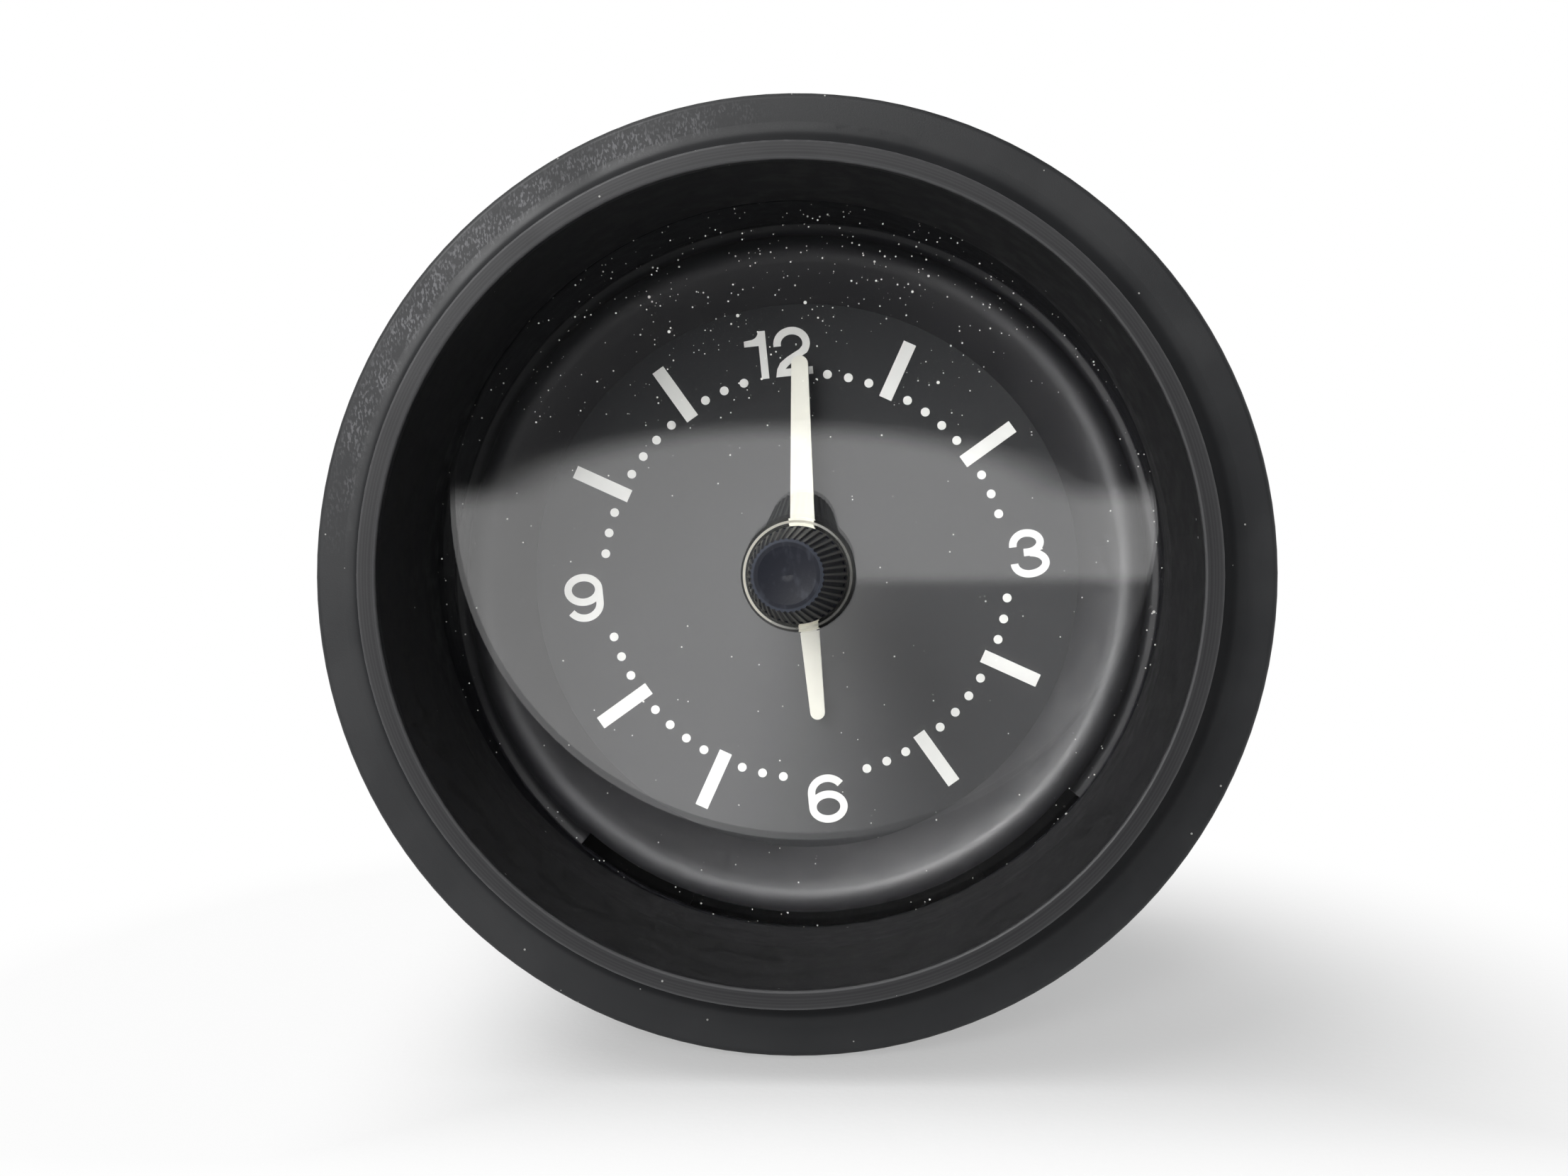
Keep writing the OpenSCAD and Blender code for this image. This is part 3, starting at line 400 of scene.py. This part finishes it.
for part in frame["record"]["subparts"]:
    piece = nodes[part["node"]]
    piece.data.materials.clear()
    piece.data.materials.append(MATERIALS[part["material_slot"]])


# Rounded edges on the moulded hands
HAND_ROUND = 0.36
for name in ("minute_hand", "hour_hand"):
    weld = nodes[name].modifiers.new("join", "WELD")
    weld.merge_threshold = 0.001 * MM
    edge = nodes[name].modifiers.new("round", "BEVEL")
    edge.width = HAND_ROUND * MM
    edge.segments = 4
    edge.limit_method = "ANGLE"
    edge.angle_limit = math.radians(40)


# Return spring: a copy of the knob's spring with its own mesh, riding on the case, in place of the hidden
# original
spring = bpy.data.objects.new("return_spring", nodes["knob_spring"].data.copy())
bpy.context.scene.collection.objects.link(spring)
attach(spring, "case")
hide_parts("knob_spring")
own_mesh(spring)


# Numerals 12, 3, 6 and 9, drawn as flat strokes round the dial


def arc(x, y, rx, ry, start, end, steps=18):
    """Points on an ellipse from one angle to another, in degrees."""
    angles = [math.radians(start + (end - start) * i / steps) for i in range(steps + 1)]
    return [(x + rx * math.cos(a), y + ry * math.sin(a)) for a in angles]


def ribbon(points, width):
    """The two edges of a stroke of that width along the points."""
    line = [Vector(p) for p in points]
    left, right = [], []
    for i, here in enumerate(line):
        along = (line[min(i + 1, len(line) - 1)] - line[max(i - 1, 0)]).normalized()
        side = Vector((-along.y, along.x)) * width / 2
        left.append(here + side)
        right.append(here - side)
    return left, right


def band(left, right):
    """A stroke of uneven width from the points of its two edges."""
    return [Vector(p) for p in left], [Vector(p) for p in right]


STROKE = 0.77
BOWL_WIDE = 1.605
BOWL_HIGH = 1.275
BOWL_OFF = 0.83
SIX_TOP = arc(0.05, 0.6, 1.655, 1.505, 33, 180) + [(-BOWL_WIDE, -BOWL_OFF)]


def bowl(y):
    """A closed ring of even stroke with its centre at a height."""
    outer = arc(0, y, BOWL_WIDE + STROKE / 2, BOWL_HIGH + STROKE / 2, 0, 360, 48)
    inner = arc(0, y, BOWL_WIDE - STROKE / 2, BOWL_HIGH - STROKE / 2, 0, 360, 48)
    return band(inner, outer)


SIX = [ribbon(SIX_TOP, STROKE), bowl(-BOWL_OFF)]
NINE = [ribbon([(-x, -y) for x, y in SIX_TOP], STROKE), bowl(BOWL_OFF)]
THREE_TOP = arc(-0.2, 0.86, 1.405, 1.245, 185, 90) + arc(-0.2, 1.115, 1.41, 0.99, 90, -90)[1:]
THREE_LOW = arc(-0.1, -1.02, 1.705, 1.085, 84, -90) + arc(-0.1, -0.95, 1.505, 1.155, 270, 180)[1:]
THREE = [ribbon(THREE_TOP + [(-0.56, 0.125)], STROKE), ribbon(THREE_LOW, STROKE)]
NECK_LEFT = (-1.91, -2.46)
NECK_RIGHT = (-1.0, -2.46)
TWO = [
    ribbon(arc(0, 0.85, 1.51, 1.335, 187, -42), STROKE),
    band(
        [(0.95, 0.45), (0.76, 0.2), (0.06, -0.14), (-0.64, -0.51), (-1.36, -1.02), (-1.74, -1.66), NECK_LEFT],
        [(1.5, -0.2), (1.38, -0.27), (0.6, -0.68), (-0.2, -1.12), (-0.6, -1.42), (-0.88, -1.68), NECK_RIGHT],
    ),
    ribbon([(-1.6, -2.075), (1.93, -2.075)], STROKE),
]
ONE = [
    ribbon([(0, -2.48), (0, 2.46)], STROKE),
    band(
        [(-1.88, 1.55), (-1.04, 1.64), (-0.75, 1.75), (-0.55, 1.9), (-0.38, 2.2), (-0.3, 2.46)],
        [(-1.88, 0.96), (-1.04, 0.96), (-0.75, 0.96), (-0.55, 0.96), (-0.2, 0.96), (0, 0.96)],
    ),
]
DIGITS = {"1": ONE, "2": TWO, "3": THREE, "6": SIX, "9": NINE}
DIAL_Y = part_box("dial_plate")[0].y
MARK_T = DIAL_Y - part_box("hour_marks")[0].y
LAYER_STEP = 0.1
NUMERAL_R = 23.1


def numeral(name, places):
    """A numeral on the dial from digits at given places in mm, each stroke a thin closed band of paint."""
    vertices, faces = [], []
    layer = 0
    for digit, x, z in places:
        for left, right in DIGITS[digit]:
            front = DIAL_Y - MARK_T * (1 + LAYER_STEP * layer)
            layer += 1
            base = len(vertices)
            for a, b in zip(left, right):
                for p in (a, b):
                    for y in (front, DIAL_Y):
                        vertices.append(((x + p.x) * MM, y, (z + p.y) * MM))
            for i in range(len(left) - 1):
                k = base + 4 * i
                faces += [
                    (k, k + 2, k + 6, k + 4),
                    (k + 1, k + 5, k + 7, k + 3),
                    (k, k + 4, k + 5, k + 1),
                    (k + 2, k + 3, k + 7, k + 6),
                ]
            last = base + 4 * (len(left) - 1)
            faces += [(base, base + 1, base + 3, base + 2), (last, last + 2, last + 3, last + 1)]
    mesh = bpy.data.meshes.new(name)
    mesh.from_pydata(vertices, [], faces)
    mesh.materials.append(MATERIALS["white_paint"])
    made = bpy.data.objects.new(name, mesh)
    bpy.context.scene.collection.objects.link(made)
    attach(made, "case")
    return made


numeral("numeral_12", [("1", -2.05, NUMERAL_R), ("2", 0.97, NUMERAL_R)])
numeral("numeral_3", [("3", NUMERAL_R, 0)])
numeral("numeral_6", [("6", 0, -NUMERAL_R)])
numeral("numeral_9", [("9", -NUMERAL_R, 0)])


# Camera: where the photograph was taken from, with its size and focal length in pixels
WIDE = 2212
HIGH = 1659
FOCAL = 3400
SENSOR = 36
LIP_CENTRE = Vector((0, -0.011, 0))
LIP_PIXEL = (1108, 812)
LIP_DISTANCE = 0.2174
AXIS_RIGHT = 0.0663
AXIS_UP = 0.0087
ROLL = math.radians(5.7)
into = Vector((0, 1, 0))
image_right = Vector((math.cos(ROLL), 0, -math.sin(ROLL)))
image_up = Vector((math.sin(ROLL), 0, math.cos(ROLL)))
forward = (into - AXIS_RIGHT * image_right - AXIS_UP * image_up).normalized()
right = (image_right - image_right.dot(forward) * forward).normalized()
up = right.cross(forward)
across = (LIP_PIXEL[0] - WIDE / 2) / FOCAL
above = (HIGH / 2 - LIP_PIXEL[1]) / FOCAL
stand = LIP_CENTRE - LIP_DISTANCE * (forward + across * right + above * up)
camera = bpy.data.objects.new("camera", bpy.data.cameras.new("camera"))
camera.data.sensor_width = SENSOR
camera.data.lens = FOCAL / WIDE * SENSOR
camera.data.clip_start = 0.01
camera.matrix_world = Matrix.Translation(stand) @ Matrix((right, up, -forward)).transposed().to_4x4()
bpy.context.scene.collection.objects.link(camera)
bpy.context.scene.camera = camera


# Floor: the clock rests on its flange's lower edge and on the rear of its case
FLANGE_R = bezel_box[1].x
CASE_R = case_box[1].x
CASE_CORNER = 3 * MM
lean = math.atan((FLANGE_R - CASE_R) / (case_box[1].y - CASE_CORNER))
floor_up = math.cos(lean) * image_up - math.sin(lean) * into
floor_at = -FLANGE_R * image_up
FLOOR_HALF = 3.0
SHADOW_WHITE = 0.4


def sheet(name, half_wide, half_deep):
    """A flat rectangle in its own XY plane."""
    mesh = bpy.data.meshes.new(name)
    corners = [(-1, -1), (1, -1), (1, 1), (-1, 1)]
    mesh.from_pydata([(half_wide * x, half_deep * y, 0) for x, y in corners], [], [(0, 1, 2, 3)])
    made = bpy.data.objects.new(name, mesh)
    bpy.context.scene.collection.objects.link(made)
    return made


def facing(direction, at):
    """A matrix at a point that turns Z along direction and keeps X along the picture's width."""
    z = direction.normalized()
    y = z.cross(image_right).normalized()
    return Matrix.Translation(at) @ Matrix((y.cross(z), y, z)).transposed().to_4x4()


floor = sheet("floor", FLOOR_HALF, FLOOR_HALF)
floor.matrix_world = facing(floor_up, floor_at)
paper = bpy.data.materials.new("white_paper")
paper.use_nodes = True
tree = paper.node_tree
shader = tree.nodes["Principled BSDF"]
shader.inputs["Base Color"].default_value = (0.86, 0.86, 0.86, 1)
shader.inputs["Roughness"].default_value = 0.9
place = add(tree, "TexCoord").outputs["Object"]
bump(tree, shader, noise(tree, millimetres(tree), 1.2), 0.05)
away = add(tree, "VectorMath", {0: place}, operation="LENGTH").outputs["Value"]
seen = seen_rays(tree)
white = add(tree, "Emission", {"Color": (1, 1, 1, 1), "Strength": 1.0})
x, y, z = along_axes(tree, place)
# Painted light: white shown to seen rays lightens the floor's shadow, by four tenths round the clock, wholly
# in front and further off, nine tenths to the left
round_about = ramp(tree, away, 0.045, 0.1, SHADOW_WHITE, 1.0)
in_front = ramp(tree, y, -0.005, -0.04, SHADOW_WHITE, 1.0)
to_left = ramp(tree, x, -0.015, -0.045, SHADOW_WHITE, 0.9)
whiter = maths(tree, "MAXIMUM", maths(tree, "MAXIMUM", round_about, in_front), to_left)
share = maths(tree, "MULTIPLY", seen, whiter)
mixed = add(tree, "MixShader", {0: share, 1: shader.outputs[0], 2: white.outputs[0]})
tree.links.new(mixed.outputs[0], tree.nodes["Material Output"].inputs["Surface"])
floor.data.materials.append(paper)


# Dark cards that only mirror-like surfaces see: one above, and one behind the camera with a soft arched gap


def dark_card(name, half_wide, half_deep, place):
    """A dark sheet for reflections; returns its material's tree and shader."""
    made = sheet(name, half_wide, half_deep)
    made.matrix_world = place
    made.visible_camera = False
    made.visible_diffuse = False
    made.visible_shadow = False
    cloth = bpy.data.materials.new(name)
    cloth.use_nodes = True
    shader = cloth.node_tree.nodes["Principled BSDF"]
    shader.inputs["Base Color"].default_value = (0.015, 0.015, 0.016, 1)
    shader.inputs["Roughness"].default_value = 0.9
    made.data.materials.append(cloth)
    return cloth.node_tree, shader


def show_by(tree, shader, share):
    """Shows a card's shader by that share and lets rays pass for the rest."""
    gap = add(tree, "BsdfTransparent")
    mixed = add(tree, "MixShader", {0: share, 1: gap.outputs[0], 2: shader.outputs[0]})
    tree.links.new(mixed.outputs[0], tree.nodes["Material Output"].inputs["Surface"])


CARD_AWAY = 0.26
CARD_HALF = 0.4
ARCH_MID = -0.011
ARCH_HALF = 0.062
ARCH_RISE = 0.019
CEILING = 0.75
dark_card("dark_ceiling", 2 * CARD_HALF, 2 * CARD_HALF, facing(-floor_up, floor_at + CEILING * floor_up))
card_foot = floor_at - CARD_AWAY * (into + math.tan(lean) * image_up)
tree, shader = dark_card(
    "dark_card", 2 * CARD_HALF, CARD_HALF, facing(into, card_foot + CARD_HALF * image_up)
)
x, y, z = along_axes(tree, add(tree, "TexCoord").outputs["Object"])
rise = maths(tree, "DIVIDE", maths(tree, "SUBTRACT", CARD_HALF, maths(tree, "ABSOLUTE", y)), ARCH_RISE)
wide = maths(tree, "DIVIDE", maths(tree, "SUBTRACT", x, ARCH_MID), ARCH_HALF)
arch = ramp(tree, distance(tree, wide, rise), 0.8, 1.15)
show_by(tree, shader, maths(tree, "MULTIPLY", arch, ramp(tree, rise, 0.0, 0.4)))


# Painted shadow: a soft dark sheet on the floor at the front right, seen only in reflections, mirrored in the
# lower right of the glass
PATCH = Vector((0.07, -0.105, 0.002))
PATCH_HALF = 0.085
PATCH_COVER = 0.8
tree, shader = dark_card("floor_shadow_patch", PATCH_HALF, PATCH_HALF, facing(floor_up, floor.matrix_world @ PATCH))
x, y, z = along_axes(tree, add(tree, "TexCoord").outputs["Object"])
sides = maths(tree, "MULTIPLY", ramp(tree, x, -PATCH_HALF, -0.052), ramp(tree, y, -0.083, -0.068))
show_by(tree, shader, maths(tree, "MULTIPLY", sides, PATCH_COVER))


# Light: a pale surround and soft lamps


def lamp(name, at, aim, size, power, lights=True, mirrored=True):
    """A square area lamp, which can light matt surfaces, show in glossy ones, or both."""
    data = bpy.data.lights.new(name, "AREA")
    data.size = size
    data.energy = power
    made = bpy.data.objects.new(name, data)
    made.matrix_world = Matrix.Translation(at) @ (aim - at).to_track_quat("-Z", "Y").to_matrix().to_4x4()
    bpy.context.scene.collection.objects.link(made)
    made.visible_camera = False
    made.visible_diffuse = lights
    made.visible_glossy = mirrored
    return made


AMBIENT = 0.26
world = bpy.data.worlds.new("surround")
bpy.context.scene.world = world
world.use_nodes = True
tree = world.node_tree
seen = seen_rays(tree)
strength = maths(tree, "MULTIPLY_ADD", seen, 1 - AMBIENT, AMBIENT)
ground = tree.nodes["Background"]
ground.inputs["Color"].default_value = (1, 1, 1, 1)
tree.links.new(strength, ground.inputs["Strength"])

CENTRE = Vector((0, 0.02, 0))
lamp("front", Vector((-0.1, -0.55, 0.12)), CENTRE, 0.2, 1.3, mirrored=False)
lamp("sheen", Vector((-0.12, -0.26, 0.17)), CENTRE, 0.14, 1.5, lights=False)
lamp("top", Vector((-0.15, -0.12, 0.64)), CENTRE, 0.6, 2.6)

bpy.context.scene.view_settings.view_transform = "Standard"
